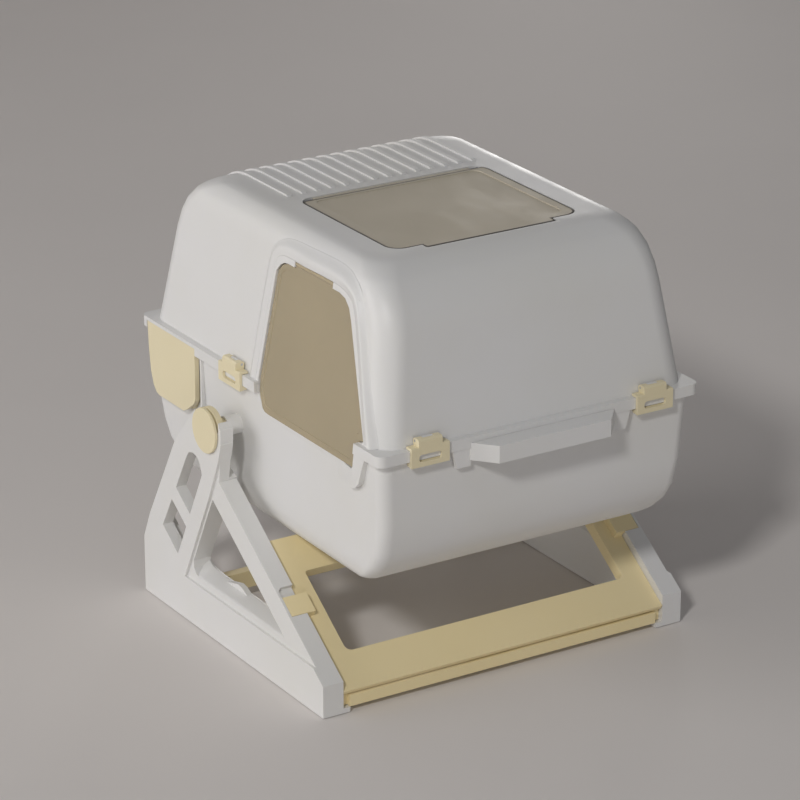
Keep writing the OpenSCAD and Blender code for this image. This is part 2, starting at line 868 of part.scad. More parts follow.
lid_y = box_y + lid_back;                   // middle of the lid
lid_y0 = lid_y - lid_l / 2;                 // front edge of the lid
lid_y1 = lid_y + lid_l / 2;                 // back edge of the lid
lid_top = top_z - seat;                     // top face of the lid
rod_r = 1.2;                                // radius of the hinge rods
knuckle_r = 2.4;                            // radius of the lid's back edge
lid_knuckle_in = lid_r + 1;                 // knuckle's end inside the lid's side
lid_axis = [lid_y1 - knuckle_r, lid_top - knuckle_r];
frame_deep = 9;                             // depth of the well around the lid
ledge_w = 6;                                // width of the ledge that the lid rests on

module lid_2d(grow) {
    round_rect(-lid_w / 2 - grow, lid_y0 - grow, lid_w / 2 + grow, lid_y1 + grow, lid_r + grow);
    round_rect(-lid_tab_w / 2 - grow, lid_y0 - lid_tab_l - grow,
               lid_tab_w / 2 + grow, lid_y0 + 20, 4);
}

// Line of the hood's left face: X at height z, moved inward by t
function face_x(z, t = 0) =
    -(half_w - hood_ledge - (z - lip_z) * tan(hood_side_draft) - t / cos(hood_side_draft));

flap_rod_r = 1.3;                           // radius of the flap's rod
flap_rod_in = 5;                            // rod's reach into the wall beside the slot
flap_knuckle_r = 3;                         // radius of the flap's knuckle
flap_axis_z = entry_top_z + flap_knuckle_r + 0.5;
flap_axis_x = face_x(flap_axis_z, flap_t / 2 - flap_out);
slot_y0 = -hinge_front - hinge_slot_w / 2;
slot_y1 = -hinge_front + hinge_slot_w / 2;

module rib(x) {
    flat_end = box_y + half_d - hood_ledge - centre_in(hood_h, hood_end_r, hood_end_draft);
    cz = top_z - hood_end_r;
    r = hood_end_r;
    along_x(x - rib_w / 2, x + rib_w / 2)
        polygon(concat(
            [[lid_y1 + rib_gap, top_z - 1], [lid_y1 + rib_gap + 1, top_z + rib_h * 0.7],
             [lid_y1 + rib_gap + 4, top_z + rib_h]],
            [for (a = [0:8:48]) [flat_end + (r + rib_h) * sin(a), cz + (r + rib_h) * cos(a)]],
            [for (a = [52:-8:0]) [flat_end + (r - 1.5) * sin(a), cz + (r - 1.5) * cos(a)]]));
}

module hood() {
    color("white")
        difference() {
            union() {
                difference() {
                    union() {
                        hood_solid(0);
                        lip();
                    }
                    hood_solid(wall);
                    hull()
                        plate(half_w - hood_ledge - wall, half_d - hood_ledge - wall,
                              hood_corner_r - wall, wall + 1, lip_z - wall - e);
                }
                for (i = [0:rib_count - 1])
                    rib((i - (rib_count - 1) / 2) * rib_pitch);
                // well and ledge around the lid
                translate([0, 0, top_z - frame_deep])
                    linear_extrude(frame_deep - 0.5)
                        difference() {
                            lid_2d(lid_gap + 3);
                            lid_2d(lid_gap);
                        }
                translate([0, 0, lid_top - lid_t - seat - 3])
                    linear_extrude(3)
                        difference() {
                            lid_2d(lid_gap + 1);
                            square_at(-lid_w / 2 + ledge_w, lid_y0 + ledge_w,
                                      lid_w / 2 - ledge_w, lid_y1 + lid_gap);
                            square_at(-lid_w / 2 - 0.2, lid_y1 - 10, lid_w / 2 + 0.2, lid_y1 + lid_gap);
                        }
                // raised border of the entry
                difference() {
                    intersection() {
                        hood_solid(-border_h);
                        along_x(-half_w, -half_w + 80) border_2d();
                    }
                    hood_solid(1);
                }
                for (place = LATCHES)
                    latch_at(place)
                        latch_lug();
            }
            for (place = LATCHES)
                latch_at(place)
                    latch_pin(latch_pin_r + bearing_gap);
            translate([0, 0, top_z - frame_deep - 6])
                linear_extrude(frame_deep + 10)
                    lid_hole_2d();
            translate([0, 0, lid_top - lid_t - seat])
                linear_extrude(20)
                    lid_2d(lid_gap);
            along_x(-half_w - 1, -half_w + 60) hood_entry_2d();
            translate([-lid_w / 2 - seat, lid_axis[0], lid_axis[1]])
                rotate([0, 90, 0])
                    cylinder(r = rod_r + bearing_gap, h = lid_w + 2 * seat, $fn = 24);
            flap_pin(flap_rod_r + bearing_gap, flap_rod_in + seat);
        }
}

border_h = 2.8;                             // height of the raised border

module border_2d() {
    polygon([
        [sill_back + 15, lip_z - 1],
        [sill_back + 2, entry_top_z - 28],
        [sill_back - 4, entry_top_z + 2],
        [sill_back - 14, entry_top_z + 12],
        [sill_back - 32, entry_top_z + 18.5],
        [-hinge_front, entry_top_z + 21],
        [-sill_front + 66, entry_top_z + 21.5],
        [-sill_front + 42, entry_top_z + 16],
        [-sill_front + 24, entry_top_z + 3],
        [-sill_front + 5.5, entry_top_z - 48],
        [-sill_front - 12, lip_z + 51],
        [-sill_front - 27, lip_z + 10],
        [-sill_front - 31, lip_z - 1],
    ]);
}

// Clear opening under the lid
module lid_hole_2d() {
    round_rect(-lid_w / 2 + ledge_w, lid_y0 + ledge_w, lid_w / 2 - ledge_w, lid_y1 - 6, 14);
}

// Entry opening of the hood with the hinge slot
module hood_entry_2d() {
    polygon(ENTRY);
    square_at(slot_y0, entry_top_z - 1, slot_y1, entry_top_z + hinge_slot_h);
}

// Lip that laps down over the tub's rim
module lip() {
    difference() {
        hull()
            plate(half_w, half_d, lip_r, lip_h, rim_z);
        hull()
            plate(half_w - wall, half_d - wall, lip_r - wall, rim_top + seat - rim_z + 1, rim_z - 1);
        // room for the drawer's front
        along_x(-half_w - 1, -half_w + 12)
            square_at(front_y0 - 1, rim_z - 1, front_back_y + 1, front_z1 + 0.5);
    }
}

// ---------- lid and flap ----------

module top_lid() {
    color([0.75, 0.68, 0.5, 0.6])
        difference() {
            union() {
                translate([0, 0, lid_top - lid_t])
                    linear_extrude(lid_t)
                        difference() {
                            lid_2d(0);
                            square_at(-lid_w, lid_axis[0], lid_w, lid_y1 + 10);
                            for (side = [-1, 1])
                                translate([side * lid_w / 2, lid_axis[0]])
                                    square([2 * lid_knuckle_in, 10], center = true);
                        }
                translate([-lid_w / 2 + lid_knuckle_in, lid_axis[0], lid_axis[1]])
                    rotate([0, 90, 0])
                        cylinder(r = knuckle_r, h = lid_w - 2 * lid_knuckle_in, $fn = 32);
            }
            // shallow field inside a border
            translate([0, 0, lid_top - 1])
                linear_extrude(2)
                    round_rect(-lid_w / 2 + 13, lid_y0 + 13, lid_w / 2 - 13, lid_y1 - 13, 10);
            translate([-lid_w / 2, lid_axis[0], lid_axis[1]])
                rotate([0, 90, 0])
                    cylinder(r = rod_r + bearing_gap, h = lid_w, $fn = 24);
        }
}

module lid_rod() {
    color("silver")
        translate([-lid_w / 2, lid_axis[0], lid_axis[1]])
            rotate([0, 90, 0])
                cylinder(r = rod_r, h = lid_w, $fn = 24);
}

flap_rim = 7;                               // width of the flap's border
flap_field = 0.8;                           // depth of the field inside the border
// the entry's outline without its two shortest edges
FIELD = [for (i = [0:len(ENTRY) - 1]) if (i != 7 && i != 10) ENTRY[i]];

// Layer of the left side between the depths t0 and t1 below the hood's face
module side_layer(t0, t1) {
    along_y(-lip_d, lip_d)
        polygon([
            [face_x(0, t0), 0],
            [face_x(0, t1), 0],
            [face_x(lip_d, t1), lip_d],
            [face_x(lip_d, t0), lip_d],
        ]);
}

// Rod or bore of the flap's hinge, reaching past both ends of the slot
module flap_pin(r, past) {
    translate([flap_axis_x, slot_y0 - past, flap_axis_z])
        rotate([-90, 0, 0])
            cylinder(r = r, h = hinge_slot_w + 2 * past, $fn = 24);
}

module entry_flap() {
    color([0.75, 0.68, 0.5, 0.6])
        difference() {
            union() {
                intersection() {
                    side_layer(-flap_out, flap_t - flap_out);
                    along_x(-half_w, 0) {
                        polygon(inset(ENTRY, flap_gap));
                        square_at(slot_y0 + seat, entry_top_z - 5, slot_y1 - seat, flap_axis_z);
                    }
                }
                translate([flap_axis_x, slot_y0 + seat, flap_axis_z])
                    rotate([-90, 0, 0])
                        cylinder(r = flap_knuckle_r, h = hinge_slot_w - 2 * seat, $fn = 32);
            }
            // shallow field inside the border
            intersection() {
                side_layer(-flap_out - 1, -flap_out + flap_field);
                along_x(-half_w, 0)
                    polygon(inset(FIELD, flap_gap + flap_rim));
            }
            flap_pin(flap_rod_r + bearing_gap, 1);
        }
}

module flap_rod() {
    color("silver")
        flap_pin(flap_rod_r, flap_rod_in);
}

// ---------- handle ----------

tab_w = 26;                                 // width of a handle tab at the lip
tab_drop = 22;                              // drop of a handle tab below the lip
slant = 22;                                 // length of the slanted ends, across
grip_t = 3.5;                               // wall of the grip

// Plan of the grip's outer or inner face, out being its reach
module grip_plan(in) {
    y = box_y - half_d;
    polygon([
        [-grip_w / 2 - slant + in, y + 6],
        [-grip_w / 2 - slant + in, y],
        [-grip_w / 2 + in * 0.5, y - grip_out + in],
        [grip_w / 2 - in * 0.5, y - grip_out + in],
        [grip_w / 2 + slant - in, y],
        [grip_w / 2 + slant - in, y + 6],
    ]);
}

module front_handle() {
    y = box_y - half_d;
    grip_top = rim_z + 6.5;
    color("white")
        difference() {
            union() {
                difference() {
                    translate([0, 0, grip_top - grip_h])
                        linear_extrude(grip_h)
                            grip_plan(0);
                    translate([0, 0, grip_top - grip_h - 1])
                        linear_extrude(grip_h - grip_t + 1)
                            grip_plan(grip_t);
                }
                for (side = [-1, 1])
                    along_y(y + 1, y + 6)
                        polygon([
                            [side * (grip_w / 2 + slant - 3), rim_z],
                            [side * (grip_w / 2 + slant - 1), rim_z - tab_drop],
                            [side * (grip_w / 2 + slant + tab_w - 9), rim_z - tab_drop],
                            [side * (grip_w / 2 + slant + tab_w - 3), rim_z],
                        ]);
            }
            // seat under and against the lip
            translate([-lip_w / 2, y - seat, rim_z - seat])
                cube([lip_w, 20, lip_h + 10]);
            // and against the tub's front wall
            tub_solid(-seat, 0);
        }
}

// ---------- latches ----------

// Each latch: place, turn about Z. A turn of 0 faces the front.
LATCHES = [
    [[-latch_x, box_y - half_d], 0],
    [[latch_x, box_y - half_d], 0],
    [[-latch_x, box_y + half_d], 180],
    [[latch_x, box_y + half_d], 180],
    [[-half_w, pivot_y - 4], -90],
    [[half_w, pivot_y - 4], 90],
];
pin_in = 5.3;                               // pin's distance inside the lip's face
pin_z = lip_z + 9;                          // pin's height
latch_knuckle_r = 3.5;
latch_tab_w = 31;                           // width of the raised part of a latch
lug_w = 14;                                 // width of the hood's lug in a latch
hook_z = rim_z - 0.8;                       // top of a latch's hook

module latch_at(place) {
    translate([place[0][0], place[0][1], 0])
        rotate([0, 0, place[1]])
            children();
}

// Lug of the hood that a latch turns on, facing -Y from the lip's face at the origin
module latch_lug() {
    translate([-lug_w / 2, 0, 0])
        rotate([90, 0, 90])
            linear_extrude(lug_w) {
                polygon([[pin_in - 3.3, lip_z - 1], [hood_ledge + 3, lip_z - 1], [hood_ledge + 3, pin_z],
                         [pin_in, pin_z], [pin_in - 3.3, pin_z]]);
                translate([pin_in, pin_z])
                    circle(3.3, $fn = 32);
            }
}

module latch() {
    color("khaki")
        difference() {
            union() {
                // plate with its hook
                translate([-latch_w / 2, 0, 0])
                    rotate([90, 0, 90])
                        linear_extrude(latch_w)
                            polygon([
                                [-latch_out, rim_z - 7],
                                [5.6, rim_z - 6],
                                [6.2, hook_z - 2],
                                [5.6, hook_z],
                                [-seat, hook_z],
                                [-seat, lip_z + 0.6],
                                [7.6, lip_z + 0.6],
                                [7.6, lip_z + 3.4],
                                [-latch_out + 1, lip_z + 3.6],
                                [-latch_out, lip_z + 2.6],
                            ]);
                // raised middle that carries the pin
                translate([-latch_tab_w / 2, 0, 0])
                    rotate([90, 0, 90])
                        linear_extrude(latch_tab_w) {
                            polygon([
                                [-latch_out, lip_z + 1],
                                [pin_in + 2.4, lip_z + 1],
                                [pin_in + latch_knuckle_r, pin_z],
                                [pin_in, pin_z + latch_knuckle_r],
                                [-latch_out + 2, pin_z + latch_knuckle_r],
                                [-latch_out, pin_z + 1],
                            ]);
                            translate([pin_in, pin_z])
                                circle(latch_knuckle_r, $fn = 32);
                        }
            }
            // room for the hood's lug
            translate([-lug_w / 2 - seat, pin_in - 3.3 - 0.5, lip_z - 1])
                cube([lug_w + 2 * seat, 30, 30]);
            // oblong slot
            translate([0, e, rim_z + 3])
                rotate([90, 0, 0])
                    linear_extrude(latch_out + 2 * e)
                        round_rect(-15, -4.4, 15, 4.4, 4);
            translate([-latch_w, pin_in, pin_z])
                rotate([0, 90, 0])
                    cylinder(r = latch_pin_r + bearing_gap, h = 2 * latch_w, $fn = 24);
        }
}

module latch_pin(r = latch_pin_r) {
    color("silver")
        translate([-latch_tab_w / 2, pin_in, pin_z])
            rotate([0, 90, 0])
                cylinder(r = r, h = latch_tab_w, $fn = 24);
}

// ---------- output ----------

module put_latch(i) {
    latch_at(LATCHES[i])
        latch();
}

module put_pin(i) {
    latch_at(LATCHES[i])
        latch_pin();
}

module flip_x() {
    mirror([1, 0, 0])
        children();
}

color("whitesmoke") flip_x() stand_side();  // stand_side_left
color("whitesmoke") stand_side();  // stand_side_right
stand_front_frame();
stand_floor_rail();
stand_rear_bar();
foot_pad(-1, -stand_front + pad_in);  // foot_pad_front_left
foot_pad(1, -stand_front + pad_in);  // foot_pad_front_right
foot_pad(-1, stand_back - pad_in);  // foot_pad_back_left
foot_pad(1, stand_back - pad_in);  // foot_pad_back_right
tub();
hood();
top_lid();
lid_rod();
entry_flap();
flap_rod();
waste_drawer();
drawer_cradle();
sieve_grille();
front_handle();
color("khaki") flip_x() hub();  // hub_left
color("khaki") hub();  // hub_right
color("silver") flip_x() hub_screw();  // hub_screw_left
color("silver") hub_screw();  // hub_screw_right
put_latch(0);  // latch_front_left
put_latch(1);  // latch_front_right
put_latch(2);  // latch_back_left
put_latch(3);  // latch_back_right
put_latch(4);  // latch_left
put_latch(5);  // latch_right
put_pin(0);  // latch_pin_front_left
put_pin(1);  // latch_pin_front_right
put_pin(2);  // latch_pin_back_left
put_pin(3);  // latch_pin_back_right
put_pin(4);  // latch_pin_left
put_pin(5);  // latch_pin_right
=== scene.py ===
"""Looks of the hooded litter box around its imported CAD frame. Metres, +Z up, floor at Z = 0."""

import json
import math

import bmesh
import bpy
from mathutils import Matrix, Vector


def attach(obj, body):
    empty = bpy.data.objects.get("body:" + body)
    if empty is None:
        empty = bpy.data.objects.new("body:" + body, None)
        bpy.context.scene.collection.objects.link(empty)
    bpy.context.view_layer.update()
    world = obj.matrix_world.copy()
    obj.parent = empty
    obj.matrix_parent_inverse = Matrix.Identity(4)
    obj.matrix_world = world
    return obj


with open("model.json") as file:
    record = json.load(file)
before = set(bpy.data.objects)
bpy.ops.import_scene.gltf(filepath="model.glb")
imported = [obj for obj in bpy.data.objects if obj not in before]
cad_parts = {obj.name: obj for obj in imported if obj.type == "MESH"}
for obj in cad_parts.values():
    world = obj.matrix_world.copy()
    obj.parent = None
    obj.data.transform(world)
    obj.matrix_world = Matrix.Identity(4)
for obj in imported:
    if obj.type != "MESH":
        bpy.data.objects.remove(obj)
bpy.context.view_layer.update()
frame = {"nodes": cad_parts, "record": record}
nodes = frame["nodes"]
scene = bpy.context.scene

MM = 0.001

# ---------- materials ----------


def new_material(name):
    """A material with its node tree, the Principled shader and object coordinates."""
    mat = bpy.data.materials.new(name)
    mat.use_nodes = True
    tree = mat.node_tree
    shader = tree.nodes["Principled BSDF"]
    coords = tree.nodes.new("ShaderNodeTexCoord").outputs["Object"]
    return mat, tree, shader, coords


def noise(tree, coords, scale, detail=3.0, rough=0.5, stretch=None):
    """Noise value, with the coordinates stretched along the axes if asked."""
    node = tree.nodes.new("ShaderNodeTexNoise")
    node.inputs["Scale"].default_value = scale
    node.inputs["Detail"].default_value = detail
    node.inputs["Roughness"].default_value = rough
    if stretch:
        mapping = tree.nodes.new("ShaderNodeMapping")
        mapping.inputs["Scale"].default_value = stretch
        tree.links.new(coords, mapping.inputs["Vector"])
        coords = mapping.outputs["Vector"]
    tree.links.new(coords, node.inputs["Vector"])
    return node.outputs["Fac"]


def spread(tree, value, low, high):
    """Maps a noise value, most of which lies between 0.3 and 0.7, to the range low to high."""
    node = tree.nodes.new("ShaderNodeMapRange")
    node.inputs["From Min"].default_value = 0.3
    node.inputs["From Max"].default_value = 0.7
    node.inputs["To Min"].default_value = low
    node.inputs["To Max"].default_value = high
    tree.links.new(value, node.inputs["Value"])
    return node.outputs["Result"]


def ramp(tree, value, stops):
    """Colour of a value; each stop is a position and a colour."""
    node = tree.nodes.new("ShaderNodeValToRGB")
    while len(node.color_ramp.elements) < len(stops):
        node.color_ramp.elements.new(0.5)
    for element, (position, colour) in zip(node.color_ramp.elements, stops):
        element.position = position
        element.color = (*colour, 1)
    tree.links.new(value, node.inputs["Fac"])
    return node.outputs["Color"]


def bump(tree, shader, layers):
    """Chains bump nodes. Each layer is a height, its distance in metres and its strength."""
    normal = None
    for height, distance, strength in layers:
        node = tree.nodes.new("ShaderNodeBump")
        node.inputs["Distance"].default_value = distance
        node.inputs["Strength"].default_value = strength
        tree.links.new(height, node.inputs["Height"])
        if normal:
            tree.links.new(normal, node.inputs["Normal"])
        normal = node.outputs["Normal"]
    tree.links.new(normal, shader.inputs["Normal"])


def shade(colour, factor):
    return tuple(channel * factor for channel in colour)


def tint(tree, shader, value, stops):
    tree.links.new(ramp(tree, value, stops), shader.inputs["Base Color"])


def gloss(tree, shader, value, low, high):
    tree.links.new(spread(tree, value, low, high), shader.inputs["Roughness"])


WORN_SHADE = (0.975, 0.97, 0.940675)        # plastic's darker patches, as a share of its colour


def moulded(name, colour, rough=(0.36, 0.46), grain=0.35):
    """Moulded plastic: slow colour drift, faint sink marks, fine spark-eroded grain."""
    mat, tree, shader, coords = new_material(name)
    drift = noise(tree, coords, scale=5.0, detail=4.0)
    darker = tuple(channel * share for channel, share in zip(colour, WORN_SHADE))
    tint(tree, shader, drift, [(0.32, darker), (0.68, colour)])
    patches = noise(tree, coords, scale=28.0, detail=5.0, rough=0.6)
    gloss(tree, shader, patches, *rough)
    sink = noise(tree, coords, scale=9.0, detail=2.0)
    fine_grain = noise(tree, coords, scale=1500.0, detail=2.0)
    bump(tree, shader, [(sink, 0.0006, 0.25), (fine_grain, 0.00004, grain)])
    shader.inputs["IOR"].default_value = 1.48
    shader.inputs["Subsurface Weight"].default_value = 0.06
    shader.inputs["Subsurface Radius"].default_value = (0.004, 0.004, 0.003)
    shader.inputs["Subsurface Scale"].default_value = 1.0
    return mat


def smoked(name, colour, clear):
    """Tinted translucent plastic with a soft haze and faint wipe marks."""
    mat, tree, shader, coords = new_material(name)
    drift = noise(tree, coords, scale=7.0)
    tint(tree, shader, drift, [(0.3, shade(colour, 0.94)), (0.7, colour)])
    haze = noise(tree, coords, scale=35.0, detail=6.0, rough=0.65, stretch=(1.0, 0.35, 1.0))
    gloss(tree, shader, haze, 0.12, 0.26)
    wave = noise(tree, coords, scale=12.0, detail=2.0)
    fine_grain = noise(tree, coords, scale=900.0, detail=2.0)
    bump(tree, shader, [(wave, 0.0006, 0.3), (fine_grain, 0.00002, 0.2)])
    shader.inputs["IOR"].default_value = 1.46
    shader.inputs["Transmission Weight"].default_value = clear
    return mat


def steel(name):
    """Drawn wire: fine streaks along the axis and small rubbed patches."""
    mat, tree, shader, coords = new_material(name)
    streaks = noise(tree, coords, scale=900.0, rough=0.6, stretch=(0.05, 1.0, 1.0))
    tint(tree, shader, streaks, [(0.3, (0.52, 0.52, 0.54)), (0.7, (0.72, 0.72, 0.73))])
    rub = noise(tree, coords, scale=60.0, detail=4.0)
    gloss(tree, shader, rub, 0.25, 0.42)
    bump(tree, shader, [(streaks, 0.00003, 0.5)])
    shader.inputs["Metallic"].default_value = 1.0
    return mat


def rubber(name):
    """Dark matt rubber with a little dust and a coarse skin."""
    mat, tree, shader, coords = new_material(name)
    dust = noise(tree, coords, scale=45.0, detail=5.0)
    tint(tree, shader, dust, [(0.35, (0.035, 0.035, 0.036)), (0.75, (0.075, 0.073, 0.07))])
    gloss(tree, shader, dust, 0.7, 0.9)
    skin = noise(tree, coords, scale=700.0, detail=4.0)
    bump(tree, shader, [(skin, 0.00015, 0.6)])
    return mat


CREAM_ROUGH = (0.38, 0.48)
CREAM_GRAIN = 0.4
WHITE = moulded("white_plastic", (0.79, 0.785, 0.78))
CREAM = moulded("cream_plastic", (0.84, 0.75, 0.52), CREAM_ROUGH, CREAM_GRAIN)
# Painted light: a brighter, warmer copy of the cream, for the light and warm bounce on the front
# frame's slopes
CREAM_PAINTED_LIGHT = moulded("cream_plastic_painted_light", (0.93, 0.79, 0.475), CREAM_ROUGH, CREAM_GRAIN)
SIEVE = moulded("sieve_plastic", (0.70, 0.70, 0.70), (0.40, 0.52))
SMOKE = smoked("smoke_plastic", (0.86, 0.745, 0.52), 0.60)
LID_SMOKE = smoked("smoke_plastic_thick", (0.90, 0.82, 0.66), 0.38)
# Painted shade: near-black plastic for the rim that stands for the shadowed gap round the lid
GAP_SHADE_DARK = moulded("painted_gap_shade", (0.12, 0.11, 0.095), (0.55, 0.65))
STEEL = steel("pin_steel")
RUBBER = rubber("pad_rubber")
BY_SLOT = {
    "white_plastic": WHITE,
    "cream_plastic": CREAM,
    "sieve_plastic": SIEVE,
    "smoke_plastic": SMOKE,
    "pin_steel": STEEL,
    "pad_rubber": RUBBER,
}

# ---------- CAD nodes: soft edges, finish and painted light ---

SHARP_ANGLE = math.radians(28)              # an edge above it stays sharp in the shading
ROUND_ANGLE = math.radians(32)              # an edge above it is rounded
FLAT_ANGLE = math.radians(0.6)              # faces that differ by less are joined first
WELD_GAP = 0.02 * MM
ROUND_STEPS = 2


def smooth_group():
    """Geometry nodes that shade faces smooth and keep edges above an angle sharp."""
    group = bpy.data.node_groups.new("smooth_by_angle", "GeometryNodeTree")
    group.interface.new_socket("Geometry", in_out="INPUT", socket_type="NodeSocketGeometry")
    group.interface.new_socket("Geometry", in_out="OUTPUT", socket_type="NodeSocketGeometry")
    make = group.nodes.new
    link = group.links.new
    source, target = make("NodeGroupInput"), make("NodeGroupOutput")
    faces, edges = make("GeometryNodeSetShadeSmooth"), make("GeometryNodeSetShadeSmooth")
    edges.domain = "EDGE"
    angle, less = make("GeometryNodeInputMeshEdgeAngle"), make("FunctionNodeCompare")
    less.operation = "LESS_THAN"
    less.inputs[1].default_value = SHARP_ANGLE
    link(source.outputs[0], faces.inputs["Geometry"])
    link(faces.outputs[0], edges.inputs["Geometry"])
    link(angle.outputs["Unsigned Angle"], less.inputs[0])
    link(less.outputs[0], edges.inputs["Shade Smooth"])
    link(edges.outputs[0], target.inputs[0])
    return group


SMOOTH = smooth_group()


def soften(obj, width, flat_faces):
    """Rounds the edges of an object with modifiers, leaving its mesh as it is."""
    weld = obj.modifiers.new("weld", "WELD")
    weld.merge_threshold = WELD_GAP
    if flat_faces:
        flat = obj.modifiers.new("flat", "DECIMATE")
        flat.decimate_type = "DISSOLVE"
        flat.angle_limit = FLAT_ANGLE
    if width:
        bevel = obj.modifiers.new("round", "BEVEL")
        bevel.width = width
        bevel.segments = ROUND_STEPS
        bevel.limit_method = "ANGLE"
        bevel.angle_limit = ROUND_ANGLE
        bevel.miter_outer = "MITER_ARC"
        bevel.use_clamp_overlap = True
        bevel.harden_normals = False
    shading = obj.modifiers.new("shading", "NODES")
    shading.node_group = SMOOTH
    normals = obj.modifiers.new("normals", "WEIGHTED_NORMAL")
    normals.keep_sharp = True
    normals.weight = 60


# Width of the rounded edges in millimetres
EDGE = {
    "stand_side_left": 1.2,
    "stand_side_right": 1.2,
    "stand_front_frame": 1.4,
    "stand_floor_rail": 0.9,
    "stand_rear_bar": 0.9,
    "tub": 0.5,
    "hood": 0.5,
    "top_lid": 0.5,
    "entry_flap": 0.5,
    "waste_drawer": 0.8,
    "drawer_cradle": 0.4,
    "sieve_grille": 0.4,
    "front_handle": 1.2,
    "hub_left": 0.9,
    "hub_right": 0.9,
}
LATCH_EDGE = 0.7
# Nodes with holes in flat faces, whose faces aren't joined, because that can leave stray ones
HOLED = ("stand_side_left", "stand_side_right", "stand_rear_bar", "drawer_cradle", "sieve_grille")
# Nodes that look a little different from the rest of their material slot; the brighter, warmer
# cream of the front frame, floor rail and rear bar is painted light
FINISH_AND_PAINTED_LIGHT = {
    "top_lid": LID_SMOKE,
    "stand_front_frame": CREAM_PAINTED_LIGHT,
    "stand_floor_rail": CREAM_PAINTED_LIGHT,
    "stand_rear_bar": CREAM_PAINTED_LIGHT,
}
slot_of = {part["node"]: part["material_slot"] for part in frame["record"]["subparts"]}
for name, obj in nodes.items():
    obj.data.materials.clear()
    obj.data.materials.append(FINISH_AND_PAINTED_LIGHT.get(name, BY_SLOT[slot_of[name]]))
    is_latch = name.startswith("latch") and not name.startswith("latch_pin")
    width = LATCH_EDGE if is_latch else EDGE.get(name, 0)
    soften(obj, width * MM, name not in HOLED)

# ---------- own pieces ----------


def add_piece(name, points, faces, material, body):
    """A smooth mesh in millimetres that rides on a body."""
    mesh = bpy.data.meshes.new(name)
    mesh.from_pydata([tuple(v * MM for v in point) for point in points], [], faces)
    build = bmesh.new()
    build.from_mesh(mesh)
    bmesh.ops.recalc_face_normals(build, faces=build.faces)
    for face in build.faces:
        face.smooth = True
    build.to_mesh(mesh)
    build.free()
    obj = bpy.data.objects.new(name, mesh)
    scene.collection.objects.link(obj)
    mesh.materials.append(material)
    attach(obj, body)


def closed_tube(sections, ring):
    """Points and faces of a skin over equal sections, closed to a ring or with two end faces."""
    count, size = len(sections), len(sections[0])
    points = [point for section in sections for point in section]
    faces = []
    for i in range(count if ring else count - 1):
        j = (i + 1) % count
        for a in range(size):
            b = (a + 1) % size
            faces.append((i * size + a, i * size + b, j * size + b, j * size + a))
    if not ring:
        faces.append(tuple(range(size)))
        faces.append(tuple(range((count - 1) * size, count * size)))
    return points, faces


def rounded(line, steps):
    """Cuts the corners of an open line, keeping its ends."""
    for _ in range(steps):
        cut = [line[0]]
        for (ax, ay), (bx, by) in zip(line, line[1:]):
            cut.append((ax * 0.75 + bx * 0.25, ay * 0.75 + by * 0.25))
            cut.append((ax * 0.25 + bx * 0.75, ay * 0.25 + by * 0.75))
        cut.append(line[-1])
        line = cut
    return line


def ease(t):
    """Runs from 0 to 1 with level ends."""
    return t * t * (3 - 2 * t)


def wall_in(h, height, radius, draft):
    """Inset of the hood's drafted wall at height h, rounded towards its top."""
    draft = math.radians(draft)
    if h <= height - radius + radius * math.sin(draft):
        return h * math.tan(draft)
    reach = max(0.0, radius * radius - (h - height + radius) ** 2)
    return (height - radius) * math.tan(draft) + radius / math.cos(draft) - math.sqrt(reach)


LIP_Z = 337.5                               # where the hood's wall leaves its lip
HOOD_MIDDLE = 11.0                          # Y of the hood's middle
HOOD_HALF_X, HOOD_HALF_Y = 208.5, 265.0     # half sizes of the wall at the lip
HOOD_HEIGHT = 190.5
HOOD_CORNER = 31.0                          # radius of the upright corners
SIDE_RADIUS, SIDE_DRAFT = 35, 7.6           # rounding at the top and draft of the side walls
END_RADIUS, END_DRAFT = 84, 9.7             # the same of the end walls


def hood_side(y, z):
    """X of the hood's left wall."""
    h = max(0.0, z - LIP_Z)
    half_x = HOOD_HALF_X - wall_in(h, HOOD_HEIGHT, SIDE_RADIUS, SIDE_DRAFT)
    half_y = HOOD_HALF_Y - wall_in(h, HOOD_HEIGHT, END_RADIUS, END_DRAFT)
    past = (HOOD_CORNER - half_y) - (y - HOOD_MIDDLE)
    if past <= 0:
        return -half_x
    return -(half_x - HOOD_CORNER + math.sqrt(max(0.0, HOOD_CORNER ** 2 - past ** 2)))


# Outer outline of the entry's raised border, Y and Z, from its back foot over the top to the front
BORDER = [
    (27, 336.5), (14, 460.5), (8, 490.5), (-2, 500.5), (-20, 507), (-82, 509.5),
    (-138.5, 510), (-162.5, 504.5), (-180.5, 491.5), (-199, 440.5), (-216.5, 388.5),
    (-231.5, 347.5), (-235.5, 336.5),
]
BORDER_RISE = 3.24                          # rise of the CAD border over the wall, along X
CREST = 2.8                                 # how much further the border swells at its front
SWELL = 10.0                                # width over which it swells
SWELL_STEPS = 8
SLOPE_STEPS = 12
FADE_IN = 60                                # Y over which the front's form fades in
PROUD = 0.05                                # lift of the skin over the surface under it
SUNK = 1.0                                  # depth of its underside in the wall


